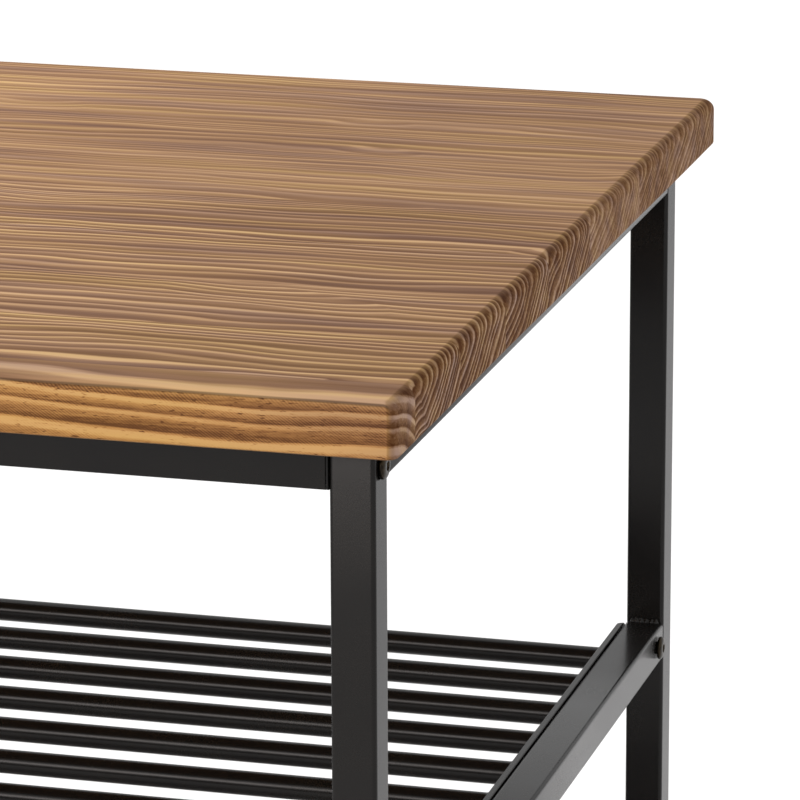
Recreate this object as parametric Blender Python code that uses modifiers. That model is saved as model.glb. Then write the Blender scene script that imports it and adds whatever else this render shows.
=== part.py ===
"""Entryway bench: a rounded softwood seat board on two welded side frames of square steel tube.

Two long rails join the side frames under the board, and two racks of round tube hang between
them on bolted end plates. Frame: origin on the floor under the middle of the bench, +X to the
right, +Y to the back, +Z up, metres. Run with: blender --background --python part.py
"""

import math

import bmesh
import bpy
from mathutils import Matrix, Vector

# Overall sizes
BENCH_LENGTH = 1.000
BENCH_DEPTH = 0.470
BENCH_HEIGHT = 0.450

# Seat board
BOARD_THICKNESS = 0.0185
BOARD_EDGE_RADIUS = 0.0045
BOARD_LOWER_EDGE_RADIUS = 0.0012
BOARD_CORNER_RADIUS = 0.0035
BOARD_SIDE_OVERHANG = 0.0125
BOARD_FRONT_OVERHANG = 0.020
BOARD_REAR_OVERHANG = 0.014

# Square tube of the legs and rails
TUBE = 0.015
TUBE_WALL = 0.0012
TUBE_CORNER_RADIUS = 0.0015

# Gap that neighbours keep between their faces, and the slack of a bolt in its hole
GAP = 0.0003
BOLT_SLACK = 0.0003

# Long rails under the board
LONG_RAIL_DROP = 0.002
INSERT_FLANGE = 0.0006
INSERT_DEPTH = 0.018

# Racks: the upper one hangs below the board, the lower one stands above the floor
UPPER_RACK_DROP = 0.190
LOWER_RACK_TOP = 0.0515
PLATE_PAST_LEG = 0.001
PLATE_THICKNESS = 0.0025
PLATE_CORNER_RADIUS = 0.005
ROD_DIAMETER = 0.009
ROD_WALL = 0.0009
ROD_COUNT = 11
ROD_SIDES = 16
ROD_TO_BOLT = 0.0195
RACK_BOLT_TO_LEG = 0.0085
RACK_BOLT_TAIL = 0.001

# Bolts
BOLT_HEAD_DIAMETER = 0.0095
BOLT_HEAD_HEIGHT = 0.0019
BOLT_HEAD_RIM = 0.0009
BOLT_SHANK_DIAMETER = 0.005
BOLT_SOCKET_FLATS = 0.003
BOLT_SOCKET_DEPTH = 0.0011
SEAT_BOLT_REACH = 0.012
BOLT_SIDES = 16

# Foot plugs
FOOT_HEIGHT = 0.002
FOOT_STEM = 0.016

# What follows from the sizes above
BOARD_UNDERSIDE = BENCH_HEIGHT - BOARD_THICKNESS
LEG_TOP = BOARD_UNDERSIDE - GAP
LEG_BOTTOM = FOOT_HEIGHT + GAP
FRAME_X = BENCH_LENGTH / 2 - BOARD_SIDE_OVERHANG
FRAME_Y = (BENCH_DEPTH - BOARD_FRONT_OVERHANG - BOARD_REAR_OVERHANG) / 2
FRAME_SHIFT = (BOARD_FRONT_OVERHANG - BOARD_REAR_OVERHANG) / 2
LEG_X = FRAME_X - TUBE / 2
LEG_Y = FRAME_Y - TUBE / 2
SIDE_RAIL_LENGTH = 2 * (FRAME_Y - TUBE - GAP)
TOP_RAIL_Z = LEG_TOP - TUBE / 2
LONG_RAIL_Z = BOARD_UNDERSIDE - LONG_RAIL_DROP - TUBE / 2
LONG_RAIL_END = FRAME_X - TUBE - INSERT_FLANGE - 2 * GAP
TUBE_BORE = TUBE - 2 * TUBE_WALL
PLATE_X = FRAME_X - TUBE - GAP - PLATE_THICKNESS / 2
ROD_LENGTH = 2 * (PLATE_X - PLATE_THICKNESS / 2 - GAP)
PLATE_LENGTH = 2 * (FRAME_Y - TUBE + PLATE_PAST_LEG)
RACK_BOLT_Y = FRAME_Y - TUBE - RACK_BOLT_TO_LEG
ROD_SPACING = 2 * (RACK_BOLT_Y - ROD_TO_BOLT) / (ROD_COUNT - 1)
BOLT_HOLE_DIAMETER = BOLT_SHANK_DIAMETER + 2 * BOLT_SLACK

SIDES = {"left": -1, "right": 1}
ENDS = {"front": -1, "rear": 1}

# Height of the middle of each rack's rails, plates and rods
RACKS = {
    "upper": BOARD_UNDERSIDE - UPPER_RACK_DROP - TUBE / 2,
    "lower": LOWER_RACK_TOP - TUBE / 2,
}


def clear_scene():
    for old in list(bpy.data.objects):
        bpy.data.objects.remove(old, do_unlink=True)


def new_collection(name):
    made = bpy.data.collections.new(name)
    bpy.context.scene.collection.children.link(made)
    return made


def finish(name, colour, roughness, metallic):
    """A Principled material: linear colour, roughness and metallic value."""
    made = bpy.data.materials.new(name)
    made.use_nodes = True
    shader = made.node_tree.nodes["Principled BSDF"]
    shader.inputs["Base Color"].default_value = (*colour, 1)
    shader.inputs["Roughness"].default_value = roughness
    shader.inputs["Metallic"].default_value = metallic
    made.diffuse_color = (*colour, 1)
    return made


def add_object(name, mesh, material, location=(0, 0, 0), rotation=(0, 0, 0), parent=None):
    """A named part in the bench collection, placed from the middle of the steel frame."""
    made = bpy.data.objects.new(name, mesh)
    if not mesh.materials:
        mesh.materials.append(material)
    made.location = location
    made.rotation_euler = rotation
    made.parent = parent or steel_frame
    parts.objects.link(made)
    return made


def shade_round(mesh, angle=35):
    mesh.shade_smooth()
    mesh.set_sharp_from_angle(angle=math.radians(angle))


def rounded_rectangle(width, height, radius, steps=3):
    """Corner points of a rounded rectangle about the origin, each corner an arc of equal steps."""
    points = []
    for turn, (sx, sy) in enumerate(((1, 1), (-1, 1), (-1, -1), (1, -1))):
        cx = sx * (width / 2 - radius)
        cy = sy * (height / 2 - radius)
        for step in range(steps + 1):
            angle = math.pi / 2 * (turn + step / steps)
            points.append((cx + radius * math.cos(angle), cy + radius * math.sin(angle)))
    return points


def circle(diameter, sides):
    turns = [2 * math.pi * step / sides for step in range(sides)]
    return [(diameter / 2 * math.cos(a), diameter / 2 * math.sin(a)) for a in turns]


def extruded(name, outlines, length):
    """A flat outline with any holes in it, extruded along Z about the origin, as a closed mesh."""
    curve = bpy.data.curves.new(name, "CURVE")
    curve.dimensions = "2D"
    curve.fill_mode = "BOTH"
    curve.extrude = length / 2
    for outline in outlines:
        spline = curve.splines.new("POLY")
        spline.points.add(len(outline) - 1)
        for point, (x, y) in zip(spline.points, outline):
            point.co = (x, y, 0, 1)
        spline.use_cyclic_u = True
    guide = bpy.data.objects.new(name, curve)
    bpy.context.scene.collection.objects.link(guide)
    graph = bpy.context.evaluated_depsgraph_get()
    mesh = bpy.data.meshes.new_from_object(guide.evaluated_get(graph))
    bpy.data.objects.remove(guide)
    bpy.data.curves.remove(curve)
    work = bmesh.new()
    work.from_mesh(mesh)
    bmesh.ops.remove_doubles(work, verts=work.verts, dist=1e-6)
    bmesh.ops.recalc_face_normals(work, faces=work.faces)
    work.to_mesh(mesh)
    work.free()
    mesh.materials.clear()
    shade_round(mesh)
    return mesh


def square_tube(name, length):
    """Square tube along Z about the origin, open at both ends."""
    outer = rounded_rectangle(TUBE, TUBE, TUBE_CORNER_RADIUS)
    inner_radius = max(TUBE_CORNER_RADIUS - TUBE_WALL, TUBE_WALL / 4)
    inner = rounded_rectangle(TUBE_BORE, TUBE_BORE, inner_radius, steps=2)
    return extruded(name, [outer, inner], length)


def hide_helper(helper):
    """Keeps a cutter or a joined stem out of the finished bench."""
    helper.display_type = "WIRE"
    helper.hide_render = True
    helper.parent = steel_frame
    cutters.objects.link(helper)


def drill(piece, place):
    """A bolt hole along X right through a piece, centred on a place in the steel frame."""
    mesh = bpy.data.meshes.new(f"{piece.name}_hole")
    work = bmesh.new()
    bmesh.ops.create_cone(
        work,
        cap_ends=True,
        segments=BOLT_SIDES,
        radius1=BOLT_HOLE_DIAMETER / 2,
        radius2=BOLT_HOLE_DIAMETER / 2,
        depth=4 * TUBE,
        matrix=Matrix.Rotation(math.pi / 2, 4, "Y"),
    )
    work.to_mesh(mesh)
    work.free()
    cutter = bpy.data.objects.new(f"{piece.name}_hole", mesh)
    cutter.location = place
    hide_helper(cutter)
    cut = piece.modifiers.new("bolt hole", "BOOLEAN")
    cut.operation = "DIFFERENCE"
    cut.solver = "EXACT"
    cut.object = cutter


def make_board():
    """The panel: upper edges rounded most, upright corners less, lower edges just broken."""
    mesh = bpy.data.meshes.new("seat_board")
    work = bmesh.new()
    size = Vector((BENCH_LENGTH, BENCH_DEPTH, BOARD_THICKNESS))
    bmesh.ops.create_cube(work, size=1, matrix=Matrix.Diagonal(size).to_4x4())
    weight = work.edges.layers.float.new("bevel_weight_edge")
    for edge in work.edges:
        heights = [vert.co.z > 0 for vert in edge.verts]
        radius = BOARD_CORNER_RADIUS
        if all(heights):
            radius = BOARD_EDGE_RADIUS
        elif not any(heights):
            radius = BOARD_LOWER_EDGE_RADIUS
        edge[weight] = radius / BOARD_EDGE_RADIUS
    work.to_mesh(mesh)
    work.free()
    place = (0, 0, BENCH_HEIGHT - BOARD_THICKNESS / 2)
    board = add_object("seat_board", mesh, wood, place, parent=bench)
    bevel = board.modifiers.new("rounded edges", "BEVEL")
    bevel.limit_method = "WEIGHT"
    bevel.width = BOARD_EDGE_RADIUS
    bevel.segments = 5
    shade_round(mesh)


def make_legs():
    length = LEG_TOP - LEG_BOTTOM
    middle = (LEG_TOP + LEG_BOTTOM) / 2
    for side, sx in SIDES.items():
        for end, sy in ENDS.items():
            name = f"leg_{end}_{side}"
            place = (sx * LEG_X, sy * LEG_Y, middle)
            leg = add_object(name, square_tube(name, length), steel, place)
            if end == "front":
                drill(leg, (sx * LEG_X, sy * LEG_Y, LONG_RAIL_Z))


def make_side_rails():
    lying = (math.pi / 2, 0, 0)
    for side, sx in SIDES.items():
        name = f"top_side_rail_{side}"
        mesh = square_tube(name, SIDE_RAIL_LENGTH)
        add_object(name, mesh, steel, (sx * LEG_X, 0, TOP_RAIL_Z), lying)
        for rack, z in RACKS.items():
            name = f"rack_rail_{rack}_{side}"
            mesh = square_tube(name, SIDE_RAIL_LENGTH)
            rail = add_object(name, mesh, steel, (sx * LEG_X, 0, z), lying)
            for sy in ENDS.values():
                drill(rail, (sx * LEG_X, sy * RACK_BOLT_Y, z))


def make_long_rails():
    for end, sy in ENDS.items():
        name = f"long_rail_{end}"
        mesh = square_tube(name, 2 * LONG_RAIL_END)
        add_object(name, mesh, steel, (0, sy * LEG_Y, LONG_RAIL_Z), (0, math.pi / 2, 0))


def plug(name, flange_depth, stem_depth, place, rotation):
    """A square flange from Z 0 up, joined to a stem above it that slides into the tube."""
    flange = extruded(name, [rounded_rectangle(TUBE, TUBE, TUBE_CORNER_RADIUS)], flange_depth)
    flange.transform(Matrix.Translation((0, 0, flange_depth / 2)))
    made = add_object(name, flange, plastic, place, rotation)
    size = TUBE_BORE - 2 * GAP
    length = stem_depth + flange_depth / 2
    stem = extruded(
        f"{name}_stem", [rounded_rectangle(size, size, TUBE_CORNER_RADIUS / 2)], length
    )
    stem.transform(Matrix.Translation((0, 0, (flange_depth + length) / 2)))
    helper = bpy.data.objects.new(f"{name}_stem", stem)
    helper.location = place
    helper.rotation_euler = rotation
    hide_helper(helper)
    join = made.modifiers.new("stem", "BOOLEAN")
    join.operation = "UNION"
    join.solver = "EXACT"
    join.object = helper
    return made


def make_rail_inserts():
    """A plug in each end of the long rails. The front ones take the bolts through the legs."""
    for end, sy in ENDS.items():
        for side, sx in SIDES.items():
            place = (sx * (FRAME_X - TUBE - GAP), sy * LEG_Y, LONG_RAIL_Z)
            turn = (0, -sx * math.pi / 2, 0)
            made = plug(f"rail_insert_{end}_{side}", INSERT_FLANGE, INSERT_DEPTH, place, turn)
            if end == "front":
                drill(made, place)


def make_foot_plugs():
    for end, sy in ENDS.items():
        for side, sx in SIDES.items():
            place = (sx * LEG_X, sy * LEG_Y, 0)
            plug(f"foot_plug_{end}_{side}", FOOT_HEIGHT, FOOT_STEM, place, (0, 0, 0))


def make_racks():
    """Each rack: rods side by side between two flat bars on edge, as tall as the rails."""
    standing = (math.pi / 2, 0, math.pi / 2)
    outline = rounded_rectangle(PLATE_LENGTH, TUBE, PLATE_CORNER_RADIUS)
    rings = [circle(ROD_DIAMETER, ROD_SIDES), circle(ROD_DIAMETER - 2 * ROD_WALL, ROD_SIDES)]
    rod_mesh = extruded("rack_rod", rings, ROD_LENGTH)
    for rack, z in RACKS.items():
        for side, sx in SIDES.items():
            name = f"rack_plate_{rack}_{side}"
            mesh = extruded(name, [outline], PLATE_THICKNESS)
            made = add_object(name, mesh, steel, (sx * PLATE_X, 0, z), standing)
            for sy in ENDS.values():
                drill(made, (sx * PLATE_X, sy * RACK_BOLT_Y, z))
        for number in range(ROD_COUNT):
            y = (number - (ROD_COUNT - 1) / 2) * ROD_SPACING
            name = f"rack_rod_{rack}_{number + 1:02d}"
            add_object(name, rod_mesh, steel, (0, y, z), (0, math.pi / 2, 0))


def bolt_mesh(name, shank_length):
    """Turned low round head above Z 0 and its shank below, from a profile run top to bottom."""
    radius = BOLT_HEAD_DIAMETER / 2
    shank = BOLT_SHANK_DIAMETER / 2
    profile = [(0, BOLT_HEAD_HEIGHT)]
    for step in range(4):
        angle = math.pi / 2 * (1 - step / 3)
        x = radius - BOLT_HEAD_RIM + BOLT_HEAD_RIM * math.cos(angle)
        profile.append((x, BOLT_HEAD_HEIGHT - BOLT_HEAD_RIM * (1 - math.sin(angle))))
    profile += [(radius, 0), (shank, 0), (shank, -shank_length), (0, -shank_length)]
    mesh = bpy.data.meshes.new(name)
    edges = [(i, i + 1) for i in range(len(profile) - 1)]
    mesh.from_pydata([(x, 0, z) for x, z in profile], edges, [])
    return mesh


def add_bolt(name, mesh, place, sx):
    """A bolt with its head outwards on side sx, the head's underside at the place."""
    made = add_object(name, mesh, bolt_steel, place, (0, sx * math.pi / 2, 0))
    turn = made.modifiers.new("turned", "SCREW")
    turn.axis = "Z"
    turn.angle = 2 * math.pi
    turn.steps = BOLT_SIDES
    turn.render_steps = BOLT_SIDES
    turn.use_merge_vertices = True
    turn.merge_threshold = 1e-5
    turn.use_smooth_shade = True
    socket = bpy.data.meshes.new(f"{name}_socket")
    work = bmesh.new()
    across_corners = BOLT_SOCKET_FLATS / math.cos(math.pi / 6)
    bmesh.ops.create_cone(
        work,
        cap_ends=True,
        segments=6,
        radius1=across_corners / 2,
        radius2=across_corners / 2,
        depth=2 * BOLT_SOCKET_DEPTH,
    )
    work.transform(Matrix.Translation((0, 0, BOLT_HEAD_HEIGHT)))
    work.to_mesh(socket)
    work.free()
    helper = bpy.data.objects.new(f"{name}_socket", socket)
    helper.location = place
    helper.rotation_euler = (0, sx * math.pi / 2, 0)
    hide_helper(helper)
    cut = made.modifiers.new("hex socket", "BOOLEAN")
    cut.operation = "DIFFERENCE"
    cut.solver = "EXACT"
    cut.object = helper


def make_bolts():
    """Seat bolts through the front legs into the rail inserts, rack bolts through a rail
    into a plate."""
    seat = bolt_mesh("seat_bolt", TUBE + SEAT_BOLT_REACH)
    rack = bolt_mesh("rack_bolt", TUBE + PLATE_THICKNESS + RACK_BOLT_TAIL)
    for side, sx in SIDES.items():
        head_x = sx * (FRAME_X + GAP)
        for end, sy in ENDS.items():
            if end == "front":
                place = (head_x, sy * LEG_Y, LONG_RAIL_Z)
                add_bolt(f"seat_bolt_{end}_{side}", seat, place, sx)
            for label, z in RACKS.items():
                place = (head_x, sy * RACK_BOLT_Y, z)
                add_bolt(f"rack_bolt_{label}_{end}_{side}", rack, place, sx)


clear_scene()
parts = new_collection("entryway_bench")
cutters = new_collection("cutters")
cutters.hide_render = True
bench = bpy.data.objects.new("bench", None)
parts.objects.link(bench)
steel_frame = bpy.data.objects.new("steel_frame", None)
steel_frame.parent = bench
steel_frame.location.y = FRAME_SHIFT
parts.objects.link(steel_frame)

wood = finish("brown_wiped_softwood", (0.300, 0.150, 0.062), 0.45, 0.0)
steel = finish("black_powder_coated_steel", (0.018, 0.017, 0.017), 0.38, 0.0)
bolt_steel = finish("black_oxide_bolt_steel", (0.030, 0.026, 0.022), 0.35, 1.0)
plastic = finish("black_moulded_plastic", (0.010, 0.010, 0.010), 0.50, 0.0)

make_board()
make_legs()
make_side_rails()
make_long_rails()
make_rail_inserts()
make_foot_plugs()
make_racks()
make_bolts()
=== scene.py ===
# %% [markdown]
# An entryway bench: a thick softwood board on a black square-tube frame, with two open
# racks of round tube under it for shoes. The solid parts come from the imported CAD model.
# This file makes the surfaces that the eye meets: the sanded and stained board, the
# powder-coated tubes, the welds, the screws and the moulded feet.

import math

import bpy
import numpy as np
from mathutils import Matrix, Vector


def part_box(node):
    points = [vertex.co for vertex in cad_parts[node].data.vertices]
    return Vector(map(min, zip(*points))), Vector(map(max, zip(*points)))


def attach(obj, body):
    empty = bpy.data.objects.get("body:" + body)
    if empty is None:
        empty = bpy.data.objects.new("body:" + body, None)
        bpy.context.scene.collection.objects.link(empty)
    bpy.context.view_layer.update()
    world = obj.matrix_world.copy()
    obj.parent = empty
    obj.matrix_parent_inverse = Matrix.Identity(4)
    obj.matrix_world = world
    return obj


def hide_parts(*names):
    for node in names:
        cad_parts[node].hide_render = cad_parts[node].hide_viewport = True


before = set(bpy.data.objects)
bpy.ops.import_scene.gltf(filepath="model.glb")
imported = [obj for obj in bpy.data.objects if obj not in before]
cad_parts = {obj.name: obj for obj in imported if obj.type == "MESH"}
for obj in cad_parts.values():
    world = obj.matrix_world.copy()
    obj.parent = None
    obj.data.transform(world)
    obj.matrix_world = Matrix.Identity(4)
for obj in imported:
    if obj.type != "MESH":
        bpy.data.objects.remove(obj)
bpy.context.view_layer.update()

# %% [markdown]
# Every finish here is a node tree, so the helpers for that come first. Colours are written
# as the sRGB hex values a paint chart gives, and the shader works in linear light, so one
# function converts them. Another adds a node of any kind, with its settings, its colour
# stops and its links, so that a sum or a mix reads as one line.

# %% Helpers for colour and nodes
MM = 0.001


def linear(hex_colour):
    """sRGB hex to linear RGBA: c/12.92 near black, else ((c + 0.055) / 1.055) to the 2.4."""
    channels = [int(hex_colour[k : k + 2], 16) / 255 for k in (1, 3, 5)]
    bent = [c / 12.92 if c < 0.04045 else ((c + 0.055) / 1.055) ** 2.4 for c in channels]
    return (*bent, 1.0)


def tones(*pairs):
    """Colour stops from pairs of a position and a hex colour, or a grey level from 0 to 1."""
    return [
        (position, linear(tone) if isinstance(tone, str) else (tone, tone, tone, 1.0))
        for position, tone in pairs
    ]


def feed(tree, made, inputs):
    """Gives a node its inputs, by order in a tuple, or by name or number in a dict. Each is
    a value, a socket, or another node, which then gives its first output in use."""
    for name, value in inputs.items() if isinstance(inputs, dict) else enumerate(inputs):
        if isinstance(value, bpy.types.Node):
            value = next(socket for socket in value.outputs if socket.enabled)
        if isinstance(value, bpy.types.NodeSocket):
            tree.links.new(value, made.inputs[name])
        else:
            made.inputs[name].default_value = value


def node(tree, kind, inputs=(), stops=(), **settings):
    """Adds one shader node. Stops are the (position, colour) pairs of a colour ramp, and
    the settings then belong to the ramp."""
    made = tree.nodes.new("ShaderNode" + kind)
    owner = made.color_ramp if stops else made
    for name, value in settings.items():
        setattr(owner, name, value)
    while stops and len(owner.elements) < len(stops):
        owner.elements.new(0.5)
    for number, (position, colour) in enumerate(stops):
        owner.elements[number].position = position
        owner.elements[number].color = colour
    feed(tree, made, inputs)
    return made


def new_material(name):
    """An empty material with its output and shader, and the Object coordinates."""
    material = bpy.data.materials.new(name)
    material.use_nodes = True
    tree = material.node_tree
    tree.nodes.clear()
    shader = node(tree, "BsdfPrincipled")
    node(tree, "OutputMaterial", {"Surface": shader})
    return material, tree, shader, node(tree, "TexCoord").outputs["Object"]


# %% [markdown]
# The seat is an edge-glued softwood panel. Growth rings are cylinders round the pith of
# the tree each stave was sawn from, so the top, the end grain and the long edge must all
# cut the same rings. A flat stripe pattern would break at the edges. The material below
# measures each point's distance from its stave's pith, which makes the lines turn over
# the rounded end and come down the end grain at a slant, as they do on the real board.
#
# Staves are told apart along Y by a stepped colour ramp. Its channels carry the pith's
# place, the ring width and the tone, so a single lookup serves all of them.

# %% Staves of the seat panel
BOARD_LOW, BOARD_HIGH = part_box("seat_board")
BOARD_DEPTH = BOARD_HIGH.y - BOARD_LOW.y
BOARD_MIDDLE = (BOARD_HIGH.z + BOARD_LOW.z) / 2
print("board", [round(v * 1000, 1) for v in (BOARD_HIGH - BOARD_LOW)], "mm")

# stave's front edge, pith across, pith above the board's middle, ring width: all in mm;
# then the tone of the stain, from 0 (dark) to 1 (light)
STAVES = [
    (-235, -243, -58, 6.3, 0.58),
    (-213, -262, 128, 2.9, 0.48),
    (-159, -212, 140, 3.3, 0.50),
    (-100, -146, 118, 3.3, 0.52),
    (-40, -92, 124, 3.1, 0.50),
    (22, -20, 112, 3.0, 0.60),
    (100, 56, 118, 3.2, 0.48),
    (145, 92, 136, 3.3, 0.60),
    (205, 160, 96, 3.0, 0.54),
]
PITH_SPAN = 600.0
RING_SPAN = 10.0


def stave_stop(front, pith_y, pith_z, ring, tone):
    """Where a stave starts on the ramp, and its numbers packed in four channels, 0 to 1."""
    start = max(0.0, (front * MM - BOARD_LOW.y) / BOARD_DEPTH)
    return start, (pith_y / PITH_SPAN + 0.5, pith_z / PITH_SPAN + 0.5, ring / RING_SPAN, tone)


# %% [markdown]
# The finish is a brown wiped stain under satin lacquer. Stain sinks into the soft
# earlywood and leaves the hard latewood pale, so each ring reads as a narrow light line
# beside a broader brown one. End grain drinks more stain and turns darker. The sanded
# long edges keep a warmer, more golden tone, with the faint slanting marks of the saw.

# %% Brown wiped softwood
wood, tree, shader, place = new_material("brown_wiped_softwood")
axes = node(tree, "SeparateXYZ", (place,)).outputs
span = {"Value": axes["Y"], "From Min": BOARD_LOW.y, "From Max": BOARD_HIGH.y}
across = node(tree, "MapRange", span)
stops = [stave_stop(*stave) for stave in STAVES]
staves = node(tree, "ValToRGB", (across,), stops, interpolation="CONSTANT")
packed = node(tree, "SeparateColor", (staves,)).outputs
tone = staves.outputs["Alpha"]

reach, half_reach = PITH_SPAN * MM, PITH_SPAN * MM / 2
pith_y = node(tree, "Math", (packed["Red"], reach, -half_reach), operation="MULTIPLY_ADD")
pith_z = node(
    tree, "Math", (packed["Green"], reach, BOARD_MIDDLE - half_reach), operation="MULTIPLY_ADD"
)
ring_width = node(tree, "Math", (packed["Blue"], RING_SPAN * MM), operation="MULTIPLY")
print("staves", len(STAVES))

# %% [markdown]
# A stem is never a true cylinder. Two noises bend the rings: a long slow one, 170 mm along
# the grain, and a shorter one of 55 mm. A third swells them over branch stubs hidden in the
# wood. Each stave reads them at a place of its own, so no wave runs across a glue joint.

# %% Waves in the grain
stave_seed = node(tree, "Math", (packed["Red"], 37.0, tone), operation="MULTIPLY_ADD")
own_place = {
    "X": node(tree, "Math", (axes["X"], stave_seed), operation="ADD"),
    "Y": axes["Y"],
    "Z": node(tree, "Math", (axes["Z"], stave_seed), operation="ADD"),
}
shifted = node(tree, "CombineXYZ", own_place)


def grain_noise(size_mm, detail, roughness=0.5):
    """Noise whose features are about size_mm long in X, Y and Z, from -0.5 to 0.5."""
    scale = tuple(1.0 / (length * MM) for length in size_mm)
    mapped = node(tree, "Mapping", {"Vector": shifted, "Scale": scale})
    inputs = {"Vector": mapped, "Scale": 1.0, "Detail": detail, "Roughness": roughness}
    noise = node(tree, "TexNoise", inputs, noise_dimensions="3D")
    return node(tree, "Math", (noise, 0.5), operation="SUBTRACT")


SLOW_WAVE, SHORT_WAVE, SWELLING = 12.5 * MM, 3.6 * MM, 26 * MM
slow_wave = node(
    tree, "Math", (grain_noise((170, 55, 60), 1.0), SLOW_WAVE), operation="MULTIPLY"
)
short_wave = node(
    tree, "Math", (grain_noise((55, 24, 24), 1.0), SHORT_WAVE), operation="MULTIPLY"
)
# only the peaks of this noise are kept: they are the swellings
peaks = node(tree, "Math", (grain_noise((95, 48, 48), 0.0), 0.15), operation="SUBTRACT")
peaks = node(tree, "Math", (peaks, 0.0), operation="MAXIMUM")
short_wave = node(tree, "Math", (peaks, SWELLING, short_wave), operation="MULTIPLY_ADD")

print("slow wave", SLOW_WAVE / MM, "mm, short wave", SHORT_WAVE / MM, "mm")

# %% [markdown]
# A point's ring is its distance from the pith over the ring width: the root of the sum of
# two squares, plus the waves. The pith runs along X, so X takes no part in it.

# %% Rings round the pith
from_pith_y = node(tree, "Math", (axes["Y"], pith_y), operation="SUBTRACT")
from_pith_z = node(tree, "Math", (axes["Z"], pith_z), operation="SUBTRACT")
squares = (
    node(tree, "Math", (from_pith_y, 2.0), operation="POWER"),
    node(tree, "Math", (from_pith_z, 2.0), operation="POWER"),
)
radius = node(tree, "Math", (node(tree, "Math", squares, operation="ADD"),), operation="SQRT")
bent_radius = node(tree, "Math", (radius, slow_wave), operation="ADD")
bent_radius = node(tree, "Math", (bent_radius, short_wave), operation="ADD")
rings = node(tree, "Math", (bent_radius, ring_width), operation="DIVIDE")

# %% [markdown]
# Good and bad years make wide and narrow rings, so a one-dimensional noise stretches the
# ring count before it is cut into single years. A second one makes some latewood lines
# bold and others faint.

# %% Years
stretch_place = node(tree, "Math", (rings, stave_seed), operation="ADD")
stretch = node(
    tree,
    "TexNoise",
    {"W": stretch_place, "Scale": 0.42, "Detail": 0.0},
    noise_dimensions="1D",
)
years = node(tree, "Math", (stretch, 1.0, rings), operation="MULTIPLY_ADD")
year_part = node(tree, "Math", (years,), operation="FRACT")
year_number = node(tree, "Math", (years,), operation="FLOOR")
year_seed = node(tree, "Math", (year_number, stave_seed), operation="ADD")
year_strength = node(tree, "TexWhiteNoise", {"W": year_seed}, noise_dimensions="1D")
# earlywood is 0, latewood is 1: the pale line takes about a third of each year
EARLYWOOD = ((0.0, 0.02), (0.14, 0.10), (0.34, 0.30), (0.54, 0.46))
LATEWOOD = ((0.70, 0.95), (0.84, 1.0), (0.93, 0.55), (1.0, 0.02))
stops = tones(*EARLYWOOD, *LATEWOOD)
year_ramp = node(tree, "ValToRGB", (year_part,), stops, interpolation="EASE")
year_strength = node(tree, "Math", (year_strength, 0.45, 0.6), operation="MULTIPLY_ADD")
latewood = node(tree, "Math", (year_ramp, year_strength), operation="MULTIPLY")

print("stops in a year", len(EARLYWOOD) + len(LATEWOOD))

# %% [markdown]
# The front staves come from faster-grown timber, and their rings are bolder. Toward the
# back the latewood is drawn back to an even middle tone.

# %% Bold rings in front, faint ones behind
EVEN_TONE = 0.42
bold_range = {
    "Value": axes["Y"],
    "From Min": -40 * MM,
    "From Max": 60 * MM,
    "To Min": 1,
    "To Max": 0.55,
}
boldness = node(tree, "MapRange", bold_range, interpolation_type="SMOOTHSTEP")
latewood = node(tree, "Math", (latewood, boldness), operation="MULTIPLY")
evened = node(tree, "Math", (boldness, -EVEN_TONE, EVEN_TONE), operation="MULTIPLY_ADD")
latewood = node(tree, "Math", (latewood, evened), operation="ADD")

# %% [markdown]
# Between the rings the wood is made of fibres a fraction of a millimetre thick and some
# centimetres long. They are drawn 1 mm thick here, because finer ones would vanish at the
# size the bench is seen. Streaks and a broad cloud stand for stain wiped on by hand.

# %% Fibres and stain
fibres = grain_noise((45, 1.0, 1.0), 2.0, 0.6)
streaks = grain_noise((150, 7, 7), 2.0, 0.55)
cloud = grain_noise((260, 90, 60), 2.0, 0.5)
toning = node(tree, "Math", (tone, 0.9, -0.45), operation="MULTIPLY_ADD")
figure = latewood
for layer, share in ((fibres, 0.40), (streaks, 0.70), (cloud, 0.55)):
    figure = node(tree, "Math", (layer, share, figure), operation="MULTIPLY_ADD")
figure = node(tree, "Math", (figure, toning), operation="ADD")

# %% [markdown]
# The top goes from a warm grey brown in the earlywood to a light tan in the latewood. The
# steps between are even, as wiping leaves no hard edge.

# %% Tones of the top
stops = tones(
    (0.0, "#7b5b45"), (0.25, "#906e54"), (0.5, "#a78465"), (0.75, "#bc9874"), (1.0, "#d0ac84")
)
top_tone = node(tree, "ValToRGB", (figure,), stops)

# %% [markdown]
# The long edges were sawn and sanded less than the top. They show slanting saw marks, torn
# fibres, and resin canals as dark dashes 3 mm long. Real saw marks stand closer together.
# They are drawn 1.3 mm apart so that they show.

# %% Tones of the long edges
SAW_SLOPE, SAW_PITCH, SAW_SHARE = 1.45, 1.3 * MM, 0.13
slant = node(tree, "Math", (axes["Z"], SAW_SLOPE, axes["X"]), operation="MULTIPLY_ADD")
slant = node(tree, "Math", (slant, 2 * math.pi / SAW_PITCH), operation="MULTIPLY")
saw_marks = node(tree, "Math", (slant,), operation="SINE")
worn = {"Value": grain_noise((30, 30, 6), 1.0), "From Min": -0.22, "From Max": 0.1}
saw_depth = node(tree, "MapRange", worn)
saw_depth = node(tree, "Math", (saw_depth, SAW_SHARE), operation="MULTIPLY")
saw_marks = node(tree, "Math", (saw_marks, saw_depth), operation="MULTIPLY")
dashes = {"Value": grain_noise((3.2, 1.0, 0.45), 1.0), "From Min": 0.13, "From Max": 0.21}
canals = node(tree, "MapRange", dashes)
torn_fibres = grain_noise((7, 1.0, 0.7), 2.0, 0.6)
edge_figure = node(tree, "Math", (figure, saw_marks), operation="ADD")
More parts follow.
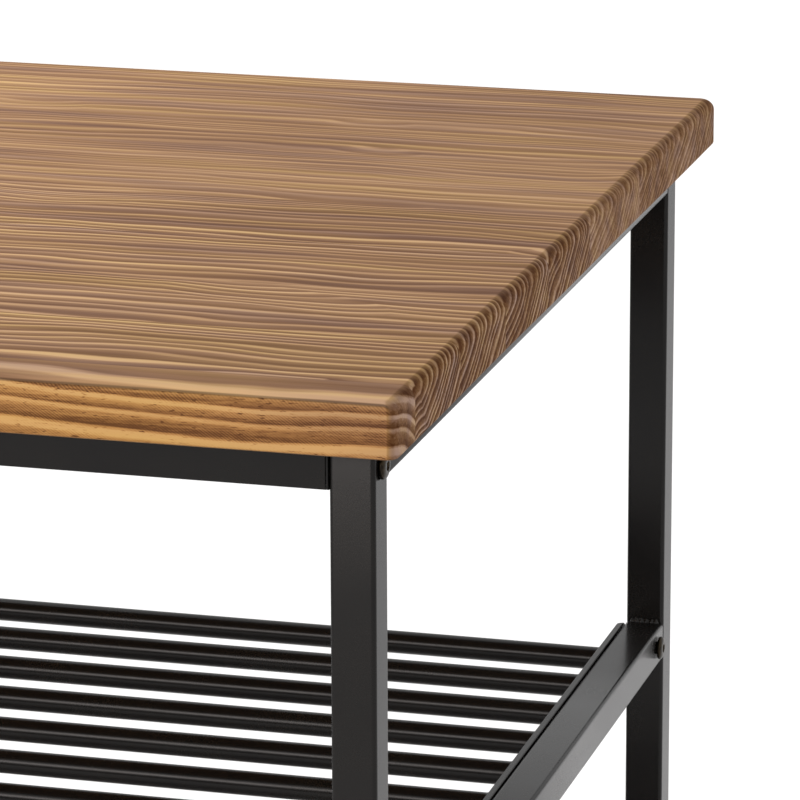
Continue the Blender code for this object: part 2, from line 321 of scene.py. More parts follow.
for layer, share in ((torn_fibres, 0.60), (canals, -0.6)):
    edge_figure = node(tree, "Math", (layer, share, edge_figure), operation="MULTIPLY_ADD")
stops = tones(
    (0.0, "#64422b"), (0.2, "#825a39"), (0.42, "#a3774b"), (0.68, "#ba8d5b"), (1.0, "#cba26e")
)
edge_tone = node(tree, "ValToRGB", (edge_figure,), stops)

# %% [markdown]
# At the ends of the board the fibres are cut across. They show as a fine speckle, and the
# open pores take the darkest stain.

# %% Tones of the end grain
end_figure = node(tree, "Math", (fibres, 0.35, figure), operation="MULTIPLY_ADD")
stops = tones((0.0, "#573318"), (0.3, "#775436"), (0.6, "#97755b"), (1.0, "#bb9d84"))
end_tone = node(tree, "ValToRGB", (end_figure,), stops)

# %% [markdown]
# Which of the three tones shows depends on the way the surface faces on the board: its
# own normal, in the board's own directions. Each mask rises smoothly over a band of that
# normal, so a tone turns over a rounded edge without a line.

# %% Join the three faces
normal = node(tree, "TexCoord").outputs["Normal"]
facing = node(tree, "SeparateXYZ", (normal,)).outputs
to_the_end = node(tree, "Math", (facing["X"],), operation="ABSOLUTE")
to_the_side = node(tree, "Math", (facing["Y"],), operation="ABSOLUTE")
side_band = {"Value": to_the_side, "From Min": 0.66, "From Max": 0.76}
end_band = {"Value": to_the_end, "From Min": 0.10, "From Max": 0.65}
long_edge = node(tree, "MapRange", side_band, interpolation_type="SMOOTHSTEP")
end_face = node(tree, "MapRange", end_band, interpolation_type="SMOOTHSTEP")
# a Mix node keeps its two colours at inputs 6 and 7
stained = node(tree, "Mix", {0: long_edge, 6: top_tone, 7: edge_tone}, data_type="RGBA")
stained = node(tree, "Mix", {0: end_face, 6: stained, 7: end_tone}, data_type="RGBA")

# %% [markdown]
# Four tints lie over the stain. It gathers in a thin dark line where the long edge starts
# to turn. Where the surface turns toward the end, a greyish olive band is painted shade.
# The brown drifts between a golden and a violet cast. And the whole colour is darkened
# toward both ends of the board: painted shade.

# %% Tints and painted shade over the stain
stops = tones((0.0, 1), (0.52, 1), (0.64, 0.45), (0.72, 0.50), (0.80, 1))
stain_line = node(tree, "ValToRGB", (to_the_side,), stops, interpolation="EASE")
line_fade = {"Value": to_the_end, "From Min": 0.15, "From Max": 0.5, "To Min": 1, "To Max": 0}
line_here = node(tree, "MapRange", line_fade, interpolation_type="SMOOTHSTEP")

# painted shade: a greyish olive band darkens the roundings that turn toward the ends
stops = tones((0.0, 1), (0.06, 1), (0.22, "#dcd9cb"), (0.6, "#dfdad1"), (0.9, 1))
painted_corner_shade = node(tree, "ValToRGB", (to_the_end,), stops, interpolation="EASE")

drifting = node(tree, "Math", (grain_noise((120, 9, 9), 1.0), 0.5), operation="ADD")
stops = tones((0.3, "#fffde4"), (0.5, "#fffaf2"), (0.7, "#e4e0ec"))
cast = node(tree, "ValToRGB", (drifting,), stops)

# painted shade: the colour darkens toward both ends of the board, to 0.74 at the ends
from_middle = node(tree, "Math", (axes["X"],), operation="ABSOLUTE")
end_shade_span = {"Value": from_middle, "From Min": 0.02, "From Max": 0.52}
toward_end = node(tree, "MapRange", end_shade_span, interpolation_type="SMOOTHSTEP")
painted_end_shade = node(tree, "ValToRGB", (toward_end,), tones((0.0, 1.0), (1.0, 0.74)))

# the corner band and the darkening toward the ends, multiplied in here, are painted shade
for share, tint in ((line_here, stain_line), (1.0, painted_corner_shade), (1.0, cast), (1.0, painted_end_shade)):
    layers = {0: share, 6: stained, 7: tint}
    stained = node(tree, "Mix", layers, data_type="RGBA", blend_type="MULTIPLY")

# %% [markdown]
# The lacquer is thin and satin, and what light it mirrors is weak beside the stain, so the
# specular level is low. Pale latewood is harder, stands a little proud and is glossier.

# %% Lacquer
gloss = node(tree, "Math", (figure, -0.1, 0.62), operation="MULTIPLY_ADD")
relief = node(tree, "Bump", {"Height": figure, "Strength": 0.35, "Distance": 0.15 * MM})
feed(tree, shader, {"Base Color": stained, "Roughness": gloss, "Normal": relief})
feed(tree, shader, {"IOR": 1.5, "Specular IOR Level": 0.02})
print("wood nodes", len(tree.nodes))

# %% [markdown]
# The frame is steel tube with a fine black powder coat. Powder melts into a skin with a
# faint orange peel about half a millimetre across, and a satin gloss that goes light where
# the surface turns away from the eye. The peel is drawn 0.7 mm across, and a second,
# broader noise varies the colour and the gloss as a baked coat does.

# %% Black powder-coated steel
coat, tree, shader, place = new_material("black_powder_coated_steel")
peel = node(tree, "TexNoise", {"Vector": place, "Scale": 1 / (0.7 * MM), "Detail": 2.0})
drift = node(tree, "TexNoise", {"Vector": place, "Scale": 1 / (35 * MM), "Detail": 3.0})
black = node(tree, "ValToRGB", (drift,), tones((0.3, "#0b0909"), (0.7, "#110f0d")))
gloss = node(tree, "Math", (drift, 0.08, 0.19), operation="MULTIPLY_ADD")
gloss = node(tree, "Math", (peel, 0.06, gloss), operation="MULTIPLY_ADD")
relief = node(tree, "Bump", {"Height": peel, "Strength": 0.15, "Distance": 0.05 * MM})
feed(tree, shader, {"Base Color": black, "Roughness": gloss, "Normal": relief})
feed(tree, shader, {"IOR": 1.5, "Specular IOR Level": 0.2})

# %% [markdown]
# Bolts are black-oxide steel: a dark, slightly brown metal with a duller skin than the
# tubes. The oxide wears unevenly, which one fine noise gives to colour, gloss and relief.

# %% Black-oxide bolt steel
bolt_steel, tree, shader, place = new_material("black_oxide_bolt_steel")
wear = node(tree, "TexNoise", {"Vector": place, "Scale": 1 / (1.5 * MM), "Detail": 3.0})
oxide = node(tree, "ValToRGB", (wear,), tones((0.35, "#1a1611"), (0.7, "#362e22")))
gloss = node(tree, "Math", (wear, 0.2, 0.28), operation="MULTIPLY_ADD")
relief = node(tree, "Bump", {"Height": wear, "Strength": 0.2, "Distance": 0.03 * MM})
feed(tree, shader, {"Base Color": oxide, "Roughness": gloss, "Normal": relief})
feed(tree, shader, {"Metallic": 0.9})

# %% [markdown]
# The feet and rail inserts are black moulded plastic. A spark-eroded mould leaves a fine
# even grain on them, which dulls their gloss.

# %% Black moulded plastic
plastic, tree, shader, place = new_material("black_moulded_plastic")
spark = node(tree, "TexNoise", {"Vector": place, "Scale": 1 / (0.4 * MM), "Detail": 2.0})
skin = node(tree, "ValToRGB", (spark,), tones((0.3, "#080808"), (0.7, "#0e0e0e")))
gloss = node(tree, "Math", (spark, 0.15, 0.5), operation="MULTIPLY_ADD")
relief = node(tree, "Bump", {"Height": spark, "Strength": 0.3, "Distance": 0.05 * MM})
feed(tree, shader, {"Base Color": skin, "Roughness": gloss, "Normal": relief})
feed(tree, shader, {"Specular IOR Level": 0.2})

# %% [markdown]
# A slot is a part of the bench that a buyer could order in another finish. Every piece
# below names its slot, and gets this material from it.

# %% Which finish goes on which slot
SLOT_MATERIAL = {
    "seat_wood": wood,
    "frame_steel": coat,
    "bolt_steel": bolt_steel,
    "moulded_plastic": plastic,
}
print("finishes", sorted(SLOT_MATERIAL))

# %% [markdown]
# New pieces are grids of points worked out as whole arrays: one direction of the grid
# runs round a profile, the other along a path or inwards. One function turns such a grid
# into quads, closes the first direction, and caps both ends with a single flat face.

# %% From a grid of points to a piece
def add_piece(name, points, faces, slot, replaced=()):
    """A mesh object in place, smooth, riding on the bench, in its slot's material."""
    mesh = bpy.data.meshes.new(name)
    mesh.from_pydata(points, [], faces)
    mesh.shade_smooth()
    mesh.materials.append(SLOT_MATERIAL[slot])
    piece = bpy.data.objects.new(name, mesh)
    bpy.context.scene.collection.objects.link(piece)
    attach(piece, "root")
    if replaced:
        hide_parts(*replaced)
    return piece


def ring_quads(rows, columns, first=0, wrap_rows=False):
    """Quads of a grid closed round its columns: (i,j), (i,j+1), (i+1,j+1), (i+1,j)."""
    i = np.arange(rows if wrap_rows else rows - 1)[:, None]
    j = np.arange(columns)[None, :]
    after_i, after_j = (i + 1) % rows, (j + 1) % columns
    corners = [i * columns + j, i * columns + after_j, after_i * columns + after_j]
    corners.append(after_i * columns + j)
    return (np.stack(corners, -1).reshape(-1, 4) + first).tolist()


def capped(rows, columns, first=0):
    """The same quads with a flat face over the first and the last ring."""
    start = list(range(first, first + columns))[::-1]
    end = list(range(first + (rows - 1) * columns, first + rows * columns))
    return ring_quads(rows, columns, first) + [start, end]


def soft_rectangle(width, height, radius, steps=8, flat=0.12 * MM):
    """Rounded rectangle, anticlockwise: in each corner (cos t, sin t) of the radius about
    the corner's centre, with one more point a hair into each flat, so that smooth shading
    stays off the flats."""
    turns = np.linspace(0, np.pi / 2, steps + 1)
    points = []
    for quarter, (sx, sy) in enumerate(((1, 1), (-1, 1), (-1, -1), (1, -1))):
        centre = np.array([sx * (width / 2 - radius), sy * (height / 2 - radius)])
        angle = turns + quarter * np.pi / 2
        arc = centre + radius * np.stack([np.cos(angle), np.sin(angle)], 1)
        along_in = np.array([-np.sin(angle[0]), np.cos(angle[0])])
        along_out = np.array([-np.sin(angle[-1]), np.cos(angle[-1])])
        points += [arc[:1] - flat * along_in, arc, arc[-1:] + flat * along_out]
    return np.concatenate(points)


# %% [markdown]
# The board is sanded all round: its upper edges have a radius of 4.5 mm, the lower ones
# hardly more than 1 mm, and the upright corners 3.5 mm. It could be a bevelled cube, but
# sanding by hand leaves the radius a little uneven. So the slab is a stack of rounded
# rectangles, each set in by the edge's circle, with a slow wave in the amount that the
# sander took.

# %% Seat board
EDGE_RADIUS = 4.5 * MM
LOWER_EDGE_RADIUS = 1.2 * MM
CORNER_RADIUS = 3.5 * MM
EDGE_STEPS = 12
SIDE_POINTS = 90


def board_outline(inset, corner):
    """Rounded rectangle of the board set in by inset: in each corner (cos t, sin t) of its
    radius, then points along the side, half a millimetre clear of both arcs, so that
    sanding waves can run along it."""
    size = (BOARD_HIGH - BOARD_LOW) / 2
    half = np.array([size.x - inset, size.y - inset])
    turns = np.linspace(0, np.pi / 2, 11)
    clear = 0.5 * MM
    parts = []
    for quarter, (sx, sy) in enumerate(((1, 1), (-1, 1), (-1, -1), (1, -1))):
        centre = np.array([sx, sy]) * (half - corner)
        angle = turns + quarter * np.pi / 2
        arc = centre + corner * np.stack([np.cos(angle), np.sin(angle)], 1)
        along = np.array([-np.sin(angle[-1]), np.cos(angle[-1])])
        straight = 2 * abs(centre @ along)
        share = np.linspace(0, 1, SIDE_POINTS + 2)[1:-1]
        distance = clear + share * (straight - 2 * clear)
        parts += [arc, arc[-1] + along * distance[:, None]]
    return np.concatenate(parts)


# %% [markdown]
# Each ring of the slab has a height and an inset. Both follow a quarter circle at the lower
# and the upper edge: 1 - sin t inwards and 1 - cos t upwards, times the edge's radius.

# %% Heights and insets of the slab's rings
bend = np.linspace(0, np.pi / 2, EDGE_STEPS + 1)
inset_share, height_share = 1 - np.sin(bend), 1 - np.cos(bend)
thickness = BOARD_HIGH.z - BOARD_LOW.z
flat = 0.6 * MM
inset_list = [
    LOWER_EDGE_RADIUS + flat,
    *(LOWER_EDGE_RADIUS * inset_share),
    0,
    0,
    *(EDGE_RADIUS * inset_share[::-1]),
    EDGE_RADIUS + flat,
]
height_list = [
    0,
    *(LOWER_EDGE_RADIUS * height_share),
    LOWER_EDGE_RADIUS + flat,
    thickness - EDGE_RADIUS - flat,
    *(thickness - EDGE_RADIUS * height_share[::-1]),
    thickness,
]

# %% [markdown]
# Sanding takes a little more here and less there. Each ring is drawn in by a slow wave that
# fades out over the radius, so the flat top and the upright sides stay true.

# %% Sand the slab
SANDED = 0.12 * MM
slab_rings = []
for inset, height in zip(inset_list, height_list):
    flat_ring = board_outline(inset, CORNER_RADIUS - 0.4 * min(inset, EDGE_RADIUS))
    # the sander took up to a quarter of a millimetre more in slow waves along the edge
    phase = flat_ring[:, 0] * 21 + flat_ring[:, 1] * 33
    rise = min(height, thickness - height) / EDGE_RADIUS
    taken = SANDED * (1 + np.sin(phase + 0.7)) * (1 - min(1.0, rise)) * (inset > 0)
    shrink = 1 - taken / np.linalg.norm(flat_ring, axis=1)
    flat_ring = flat_ring * shrink[:, None]
    level = np.full(len(flat_ring), BOARD_LOW.z + height)
    slab_rings.append(np.column_stack([flat_ring, level]))
slab = np.concatenate(slab_rings)
add_piece(
    "seat_board_sanded",
    slab,
    capped(len(slab_rings), len(slab_rings[0])),
    "seat_wood",
    ["seat_board"],
)
print("seat board points", len(slab))

# %% [markdown]
# Legs and rails are square tube with rolled corners. The tube is a rounded square
# carried along a straight line, outside and inside, with the two skins joined at the
# ends, so a cut end shows a real wall.

# %% Square tubes
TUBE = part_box("leg_front_left")[1].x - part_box("leg_front_left")[0].x
TUBE_WALL = 1.2 * MM
TUBE_RADIUS = 1.5 * MM
BURR = 0.1 * MM
print("tube", round(TUBE * 1000, 2), "mm square")


def along_axis(profile, axis, start, end, centre):
    """Places a flat profile at the start and end of a straight run along X, Y or Z."""
    first, second = {0: (1, 2), 1: (2, 0), 2: (0, 1)}[axis]
    out = np.empty((2, len(profile), 3))
    out[..., first] = profile[:, 0] + centre[first]
    out[..., second] = profile[:, 1] + centre[second]
    out[0, :, axis] = start
    out[1, :, axis] = end
    return out


def square_tube(name):
    """Outer skin out and inner skin back: six rings of points, joined in a loop, where the
    cut ends are broken by the width of a burr."""
    low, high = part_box(name)
    axis = int(np.argmax(high - low))
    centre = np.array(low + high) / 2
    outer = soft_rectangle(TUBE, TUBE, TUBE_RADIUS)
    bore = TUBE - 2 * TUBE_WALL
    inner = soft_rectangle(bore, bore, TUBE_RADIUS - TUBE_WALL)
    lip = soft_rectangle(TUBE - BURR, TUBE - BURR, TUBE_RADIUS - BURR / 2)
    run = (low[axis], high[axis])
    shell = along_axis(outer, axis, run[0] + BURR, run[1] - BURR, centre)
    rim = along_axis(lip, axis, *run, centre)
    core = along_axis(inner, axis, *run, centre)
    rings = np.stack([core[0], rim[0], shell[0], shell[1], rim[1], core[1]])
    points = rings.reshape(-1, 3)
    return add_piece(
        name + "_tube",
        points,
        ring_quads(len(rings), len(outer), wrap_rows=True),
        "frame_steel",
        [name],
    )


tube_nodes = [
    name
    for name in sorted(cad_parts)
    if name.startswith(("leg_", "top_side_rail_", "rack_rail_", "long_rail_"))
]
for name in tube_nodes:
    square_tube(name)
print("square tubes", len(tube_nodes))

# %% [markdown]
# Each rack is a row of round rods welded between two flat bars. A rod end is not sharp
# against the bar: the weld runs round it as a small swelling. So a rod is a circle
# carried along X whose radius swells over the last 2.6 mm.

# %% Rack rods
ROD_SIDES = 40
WELD_SWELL = 0.9 * MM
WELD_REACH = 2.6 * MM


def rod_radius(distance, radius):
    """The rod's radius, plus the swell times (1 - d / reach) squared within the reach."""
    near = np.clip(1 - distance / WELD_REACH, 0, 1)
    return radius + WELD_SWELL * near**2


def welded_rod(name):
    """A circle at stations along X: (cos t, sin t) times the radius at each station."""
    low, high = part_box(name)
    radius = (high.y - low.y) / 2
    flare = np.linspace(0, WELD_REACH, 7)
    places = np.concatenate([flare, [WELD_REACH + 1 * MM]])
    length = high.x - low.x
    stations = np.concatenate([places, length - places[::-1]])
    nearest = np.minimum(stations, length - stations)
    radii = rod_radius(nearest, radius)
    angle = np.linspace(0, 2 * np.pi, ROD_SIDES, endpoint=False)
    grid = np.empty((len(stations), ROD_SIDES, 3))
    grid[..., 0] = low.x + stations[:, None]
    grid[..., 1] = (low.y + high.y) / 2 + radii[:, None] * np.cos(angle)
    grid[..., 2] = (low.z + high.z) / 2 + radii[:, None] * np.sin(angle)
    return add_piece(
        name + "_tube",
        grid.reshape(-1, 3),
        capped(len(stations), ROD_SIDES),
        "frame_steel",
        [name],
    )


rod_nodes = [name for name in sorted(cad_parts) if name.startswith("rack_rod_")]
for name in rod_nodes:
    welded_rod(name)
print("rods", len(rod_nodes))

# %% [markdown]
# The flat bars stand on edge inside the side rails, with rounded ends and their sharp
# arrises broken by the coating. A bar is its outline carried through its thickness, with
# the outline drawn in a little at both faces.

# %% Rack end bars
ARRIS = 0.35 * MM
PLAN_RADIUS = 2.4 * MM
BAR_CORNER = 5 * MM


def end_bar(name):
    """Inset at depth t from the rods' side: the arris, and at the two ends a quarter round
    in plan, r times (1 - the root of (1 - (1 - t/r) squared)) while t is under r."""
    low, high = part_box(name)
    length, height = high.y - low.y, high.z - low.z
    thickness = high.x - low.x
    rods_at_low = name.endswith("right")
    turn = np.linspace(0, np.pi / 2, 5)
    insets = ARRIS * (1 - np.sin(turn))
    depths = ARRIS * (1 - np.cos(turn))
    stations = [(ARRIS * 1.5, 0), *zip(insets, depths)]
    middle = [(0.0, share * thickness) for share in (0.25, 0.4, 0.55, 0.7)]
    stations += middle + [(inset, thickness - depth) for inset, depth in stations[::-1]]
    rings = []
    for inset, depth_here in stations:
        from_rods = depth_here if rods_at_low else thickness - depth_here
        open_share = max(0.0, 1 - from_rods / PLAN_RADIUS)
        plan = PLAN_RADIUS * (1 - math.sqrt(1 - open_share**2))
        outline = soft_rectangle(
            length - 2 * (inset + plan), height - 2 * inset, BAR_CORNER - inset
        )
        ring = np.empty((len(outline), 3))
        ring[:, 0] = low.x + depth_here
        ring[:, 1] = outline[:, 0] + (low.y + high.y) / 2
        ring[:, 2] = outline[:, 1] + (low.z + high.z) / 2
        rings.append(ring)
    return add_piece(
        name + "_bar",
        np.concatenate(rings),
        capped(len(rings), len(rings[0])),
        "frame_steel",
        [name],
    )


bar_nodes = [name for name in sorted(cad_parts) if name.startswith("rack_plate_")]
for name in bar_nodes:
    end_bar(name)
print("end bars", len(bar_nodes))

# %% [markdown]
# The screws are button heads with a hexagon socket. A lathe shape alone gives a round
# hole, so the socket's rings use the distance from the middle to a hexagon's side in each
# direction: half the width across flats over the cosine of the angle from the flat.

# %% Button-head bolts
BOLT_SIDES = 48
SOCKET_FLATS = 3.0 * MM
SOCKET_DEPTH = 1.1 * MM
HEAD_HEIGHT = 1.9 * MM
HEAD_RIM = 0.9 * MM
HEAD_FLAT = 2.35 * MM
DOME_POWER = 1.6
SHANK_RADIUS = 2.5 * MM


def hexagon_radii(angle, across_flats):
    """Distance to a hexagon's side at each angle: half the flats over cos(from the flat)."""
    from_flat = (angle + np.pi / 6) % (np.pi / 3) - np.pi / 6
    return across_flats / 2 / np.cos(from_flat)


def bolt_surface(node_name, out_direction):
    """Rings from the shank's end, up the shank, over the dome and down into the socket."""
    low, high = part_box(node_name)
    head_radius = (high.y - low.y) / 2 * 0.94
    centre_y, centre_z = (low.y + high.y) / 2, (low.z + high.z) / 2
    face_x = high.x if out_direction > 0 else low.x
    length = high.x - low.x
    angle = np.linspace(0, 2 * np.pi, BOLT_SIDES, endpoint=False)
    dome_turn = np.linspace(0, 1, 9)
    dome_radii = head_radius - (head_radius - HEAD_FLAT) * dome_turn**DOME_POWER
    dome_depths = (HEAD_HEIGHT - HEAD_RIM) * (1 - dome_turn) ** DOME_POWER
    profile = [
        (SHANK_RADIUS - 0.4 * MM, length),
        (SHANK_RADIUS, length - 0.4 * MM),
        (SHANK_RADIUS, HEAD_HEIGHT),
        (head_radius - 0.15 * MM, HEAD_HEIGHT),
        (head_radius, HEAD_HEIGHT - 0.15 * MM),
        (head_radius, HEAD_HEIGHT - HEAD_RIM + 0.1 * MM),
        *zip(dome_radii, dome_depths),
    ]
    round_rings = [np.full(BOLT_SIDES, r) for r, _ in profile]
    depths = [d for _, d in profile]
    hexagon = hexagon_radii(angle, SOCKET_FLATS)
    for share, depth_here in ((1.10, 0), (1.0, 0.12 * MM), (1.0, SOCKET_DEPTH)):
        round_rings.append(hexagon * share)
        depths.append(depth_here)
    radii, depths = np.stack(round_rings), np.array(depths)
    grid = np.empty((len(depths), BOLT_SIDES, 3))
    grid[..., 0] = face_x - out_direction * depths[:, None]
    grid[..., 1] = centre_y + out_direction * radii * np.cos(angle)
    grid[..., 2] = centre_z + radii * np.sin(angle)
    return grid


bolt_nodes = [name for name in sorted(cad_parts) if "_bolt_" in name]
for name in bolt_nodes:
    side = 1 if name.endswith("right") else -1
    grid = bolt_surface(name, side)
    faces = capped(len(grid), BOLT_SIDES)
    add_piece(name + "_button_head", grid.reshape(-1, 3), faces, "bolt_steel", [name])
print("bolts", len(bolt_nodes))

# %% [markdown]
# The feet are plugs pressed into the legs. The part that shows is a thin square pad with
# softened edges. The inserts inside the long rails stay as the CAD made them: only a
# sliver of them can be seen, and they need no more than the moulded finish.

# %% Feet and inserts
PAD_HEIGHT = 2.0 * MM
PAD_ROUNDING = 0.6 * MM
STEM = TUBE - 2 * TUBE_WALL - 0.4 * MM


def foot_pad(name):
    """Stacked soft squares: a pad with a quarter round below, then the stem in the leg."""
    low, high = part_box(name)
    middle = (low + high) / 2
    turn = np.linspace(0, np.pi / 2, 6)
    widths = TUBE - 2 * PAD_ROUNDING * (1 - np.sin(turn))
    levels = PAD_ROUNDING * (1 - np.cos(turn))
    stations = [(TUBE - 4 * PAD_ROUNDING, 0.0), *zip(widths, levels)]
    stations += [(TUBE, PAD_HEIGHT - 0.15 * MM), (TUBE - 0.3 * MM, PAD_HEIGHT)]
    stations += [(STEM, PAD_HEIGHT), (STEM, high.z - 0.8 * MM), (STEM - 1.0 * MM, high.z)]
    rings = []
    for width, level in stations:
        outline = soft_rectangle(width, width, 1.3 * MM)
        ring = np.column_stack([outline + np.array(middle[:2]), np.full(len(outline), level)])
        rings.append(ring)
    return add_piece(
        name + "_moulded",
        np.concatenate(rings),
        capped(len(rings), len(rings[0])),
        "moulded_plastic",
        [name],
    )


foot_nodes = [name for name in sorted(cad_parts) if name.startswith("foot_plug_")]
for name in foot_nodes:
    foot_pad(name)
insert_nodes = [name for name in sorted(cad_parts) if name.startswith("rail_insert_")]
for name in insert_nodes:
    node_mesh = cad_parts[name].data
    node_mesh.materials.clear()
    node_mesh.materials.append(plastic)
print("feet", len(foot_nodes), "inserts", len(insert_nodes))

# %% [markdown]
# The side rails are welded to the legs. A bead of weld is a row of small overlapping
# scales, and the powder coat softens it. The bead is a circle carried along the joint,
# with its radius rippled every two millimetres and tapered at both ends.

# %% Weld beads
BEAD_RADIUS = 2.3 * MM
RIPPLE = 2.0 * MM
HALF_GAP = 0.15 * MM
BEAD_INSET = 1.6 * MM


def weld_bead(name, start, end, seed):
    """Circle along the joint, of radius bead * taper * (0.66 + 0.34 * ripple + a slow wave).
    The ripple is |sin| along the joint, and the taper closes both ends."""
    start, end = np.array(start), np.array(end)
    length = np.linalg.norm(end - start)
    direction = (end - start) / length
    side = np.cross(direction, (0.0, 0.0, 1.0))
    if np.linalg.norm(side) < 0.5:
        side = np.array([1.0, 0.0, 0.0])
    side /= np.linalg.norm(side)
    upward = np.cross(side, direction)
    share = np.linspace(0, 1, 41)
    along = share * length
    taper = np.sqrt(np.clip(1 - (2 * share - 1) ** 6, 0.02, 1))
    ripple = np.abs(np.sin(np.pi * along / RIPPLE + seed))
    size = BEAD_RADIUS * taper * (0.66 + 0.34 * ripple + 0.12 * np.sin(along * 900 + seed * 3))
    angle = np.linspace(0, 2 * np.pi, 14, endpoint=False)
    spread = side[None, :] * np.cos(angle)[:, None] + upward[None, :] * np.sin(angle)[:, None]
    grid = start + direction * along[:, None, None] + spread[None] * size[:, None, None]
    faces = capped(len(share), len(angle))
    return add_piece(name, grid.reshape(-1, 3), faces, "frame_steel")


beads = 0
for rail in [n for n in tube_nodes if n.startswith(("top_side_rail_", "rack_rail_"))]:
    low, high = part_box(rail)
    for end_name, joint_y in (("front", low.y), ("rear", high.y)):
        y = joint_y + HALF_GAP * (-1 if end_name == "front" else 1)
        runs = {"under": low.z, "over": high.z} if rail.startswith("rack") else {"under": low.z}
        for label, z in runs.items():
            beads += 1
            name = f"weld_{rail}_{end_name}_{label}"
            weld_bead(name, (low.x + BEAD_INSET, y, z), (high.x - BEAD_INSET, y, z), beads)
print("weld beads", beads)

# %% [markdown]
# Wood screws hold the board, driven up through the rails: two in each side rail and two
# in the rear one. Their pan heads show from below. The head is a low dome with a shallow
# hexagon socket, made by the same rule as the bolts.

# %% Board screws
SCREW_RADIUS = 3.6 * MM
SCREW_HEAD = 1.7 * MM
SCREW_RIM = 0.7 * MM
SCREW_FLAT = 2.0 * MM
SCREW_FLATS = 2.5 * MM


def board_screw(name, centre):
    """Rings from the rim over the dome into the socket, with the bolt head's formula."""
    angle = np.linspace(0, 2 * np.pi, BOLT_SIDES, endpoint=False)
    radii = [np.full(BOLT_SIDES, SCREW_RADIUS)]
    depths = [0.0]
    for share in np.linspace(0, 1, 7):
        narrowed = (SCREW_RADIUS - SCREW_FLAT) * share**DOME_POWER
        radii.append(np.full(BOLT_SIDES, SCREW_RADIUS - narrowed))
        rise = 1 - (1 - share) ** DOME_POWER
        depths.append(SCREW_RIM + (SCREW_HEAD - SCREW_RIM) * rise)
    hexagon = hexagon_radii(angle, SCREW_FLATS)
    for depth_here in (SCREW_HEAD, SCREW_HEAD - 1.0 * MM):
        radii.append(hexagon)
        depths.append(depth_here)
    radii, depths = np.stack(radii), np.array(depths)
    grid = np.empty((len(depths), BOLT_SIDES, 3))
    grid[..., 0] = centre[0] + radii * np.cos(angle)
    grid[..., 1] = centre[1] - radii * np.sin(angle)
    grid[..., 2] = centre[2] - depths[:, None]
    faces = capped(len(depths), BOLT_SIDES)
    return add_piece(name, grid.reshape(-1, 3), faces, "bolt_steel")


screws = 0
for rail, label, axis, shares in (
    ("top_side_rail_left", "left", 1, (0.22, 0.78)),
    ("top_side_rail_right", "right", 1, (0.22, 0.78)),
    ("long_rail_rear", "rear", 0, (0.25, 0.75)),
):
    low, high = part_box(rail)
    for number, share in enumerate(shares, 1):
        centre = [(low.x + high.x) / 2, (low.y + high.y) / 2, low.z]
        centre[axis] = low[axis] + (high[axis] - low[axis]) * share
        board_screw(f"board_screw_{label}_{number}", centre)
        screws += 1
print("board screws", screws)

# %% [markdown]
# The room is a studio: a pale matt floor that runs out of sight, under a white surround.
# Black satin tube shows little but reflections, so the surround does most of the work: it
# is what makes the side faces of the legs light grey.

# %% Floor
FLOOR_HALF = 9.0
paint, tree, shader, place = new_material("pale_studio_floor")
mottle = node(tree, "TexNoise", {"Vector": place, "Scale": 3.0, "Detail": 2.0})
pale = node(tree, "ValToRGB", (mottle,), tones((0.3, "#f8f7f7"), (0.7, "#faf9f9")))
feed(tree, shader, {"Base Color": pale, "Roughness": 0.9, "Specular IOR Level": 0.1})
mesh = bpy.data.meshes.new("studio_floor")
corners = [(x * FLOOR_HALF, y * FLOOR_HALF, 0) for x, y in ((-1, -1), (1, -1), (1, 1), (-1, 1))]
mesh.from_pydata(corners, [], [(0, 1, 2, 3)])
mesh.materials.append(paint)
floor = bpy.data.objects.new("studio_floor", mesh)
bpy.context.scene.collection.objects.link(floor)
print("floor", 2 * FLOOR_HALF, "m wide")

# %% [markdown]
# The surround is bright overhead and dimmer low down and behind. Its strength is the dot
# product of the direction with an axis that leans forward, spread over a range.

# %% White surround
world = bpy.data.worlds.new("white_surround")
world.use_nodes = True
bpy.context.scene.world = world
sky = world.node_tree
look = node(sky, "TexCoord").outputs["Generated"]
lean = node(sky, "VectorMath", (look, (0.0, -0.2, 0.9)), operation="DOT_PRODUCT")
spread = {"Value": lean, "From Min": -0.3, "From Max": 0.5, "To Min": 0.6, "To Max": 1.15}
strength = node(sky, "MapRange", spread)
feed(sky, sky.nodes["Background"], {"Color": linear("#ffffff"), "Strength": strength})

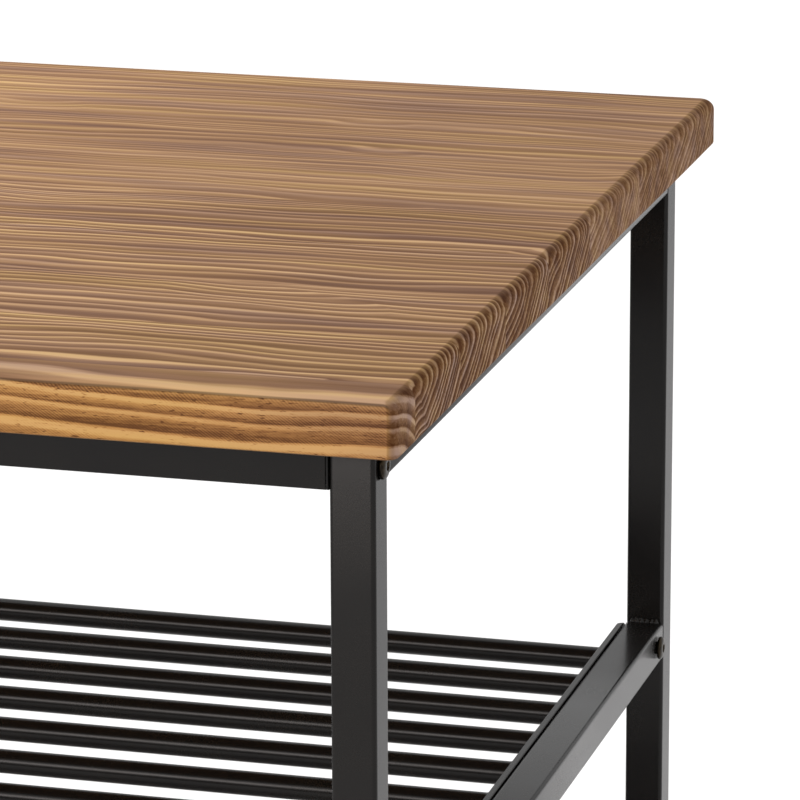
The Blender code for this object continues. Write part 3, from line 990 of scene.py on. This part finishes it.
# %% [markdown]
# Two soft lights are added. A weak one hangs over the left end, which makes the top paler
# there. A wide strip stands low in front on the left: it gives the rods their thin warm
# streak and the front edge its glow. Neither is seen by the camera.

# %% Soft lights

def soft_light(name, place, target, width, height, power, tint="#ffffff"):
    """A rectangle light turned so that its local -Z looks at the target."""
    data = bpy.data.lights.new(name, "AREA")
    data.color = linear(tint)[:3]
    data.shape = "RECTANGLE"
    data.size, data.size_y = width, height
    data.energy = power
    light = bpy.data.objects.new(name, data)
    light.location = place
    light.visible_camera = False
    away = Vector(place) - Vector(target)
    light.rotation_euler = away.to_track_quat("Z", "Y").to_euler()
    bpy.context.scene.collection.objects.link(light)


seat_middle = (0.3, 0, 0.4)
soft_light("over_the_left_end", (-0.55, 0.35, 1.35), (0.1, 0, 0.45), 0.9, 0.6, 5)
soft_light("strip_from_front_left", (-1.0, -3.2, 1.42), seat_middle, 1.8, 0.85, 42, "#fff5f0")
print("lights", 2)

# %% [markdown]
# A long lens from a little above seat height keeps the bench's lines nearly parallel. The
# camera's three directions are worked out from its heading, its dip and a trace of roll.

# %% Camera
CAMERA_PLACE = Vector((0.8978, -1.6679, 0.8584))
HEADING, DIP, ROLL = (math.radians(v) for v in (15.47, 15.31, -0.20))
back = Vector(
    (
        math.sin(HEADING) * math.cos(DIP),
        -math.cos(HEADING) * math.cos(DIP),
        math.sin(DIP),
    )
)
level_right = Vector((math.cos(HEADING), math.sin(HEADING), 0))
level_up = back.cross(level_right)
right = level_right * math.cos(ROLL) + level_up * math.sin(ROLL)
up = level_up * math.cos(ROLL) - level_right * math.sin(ROLL)
lens = bpy.data.cameras.new("long_lens")
lens.sensor_width = 36
lens.lens = 227.25
lens.clip_end = 60
camera = bpy.data.objects.new("long_lens", lens)
axes = Matrix((right, up, back)).transposed().to_4x4()
camera.matrix_world = Matrix.Translation(CAMERA_PLACE) @ axes
bpy.context.scene.collection.objects.link(camera)
bpy.context.scene.camera = camera
bpy.context.scene.view_settings.view_transform = "Standard"

# %% [markdown]
# Last, the view layer is brought up to date.

# %% Finish
bpy.context.view_layer.update()
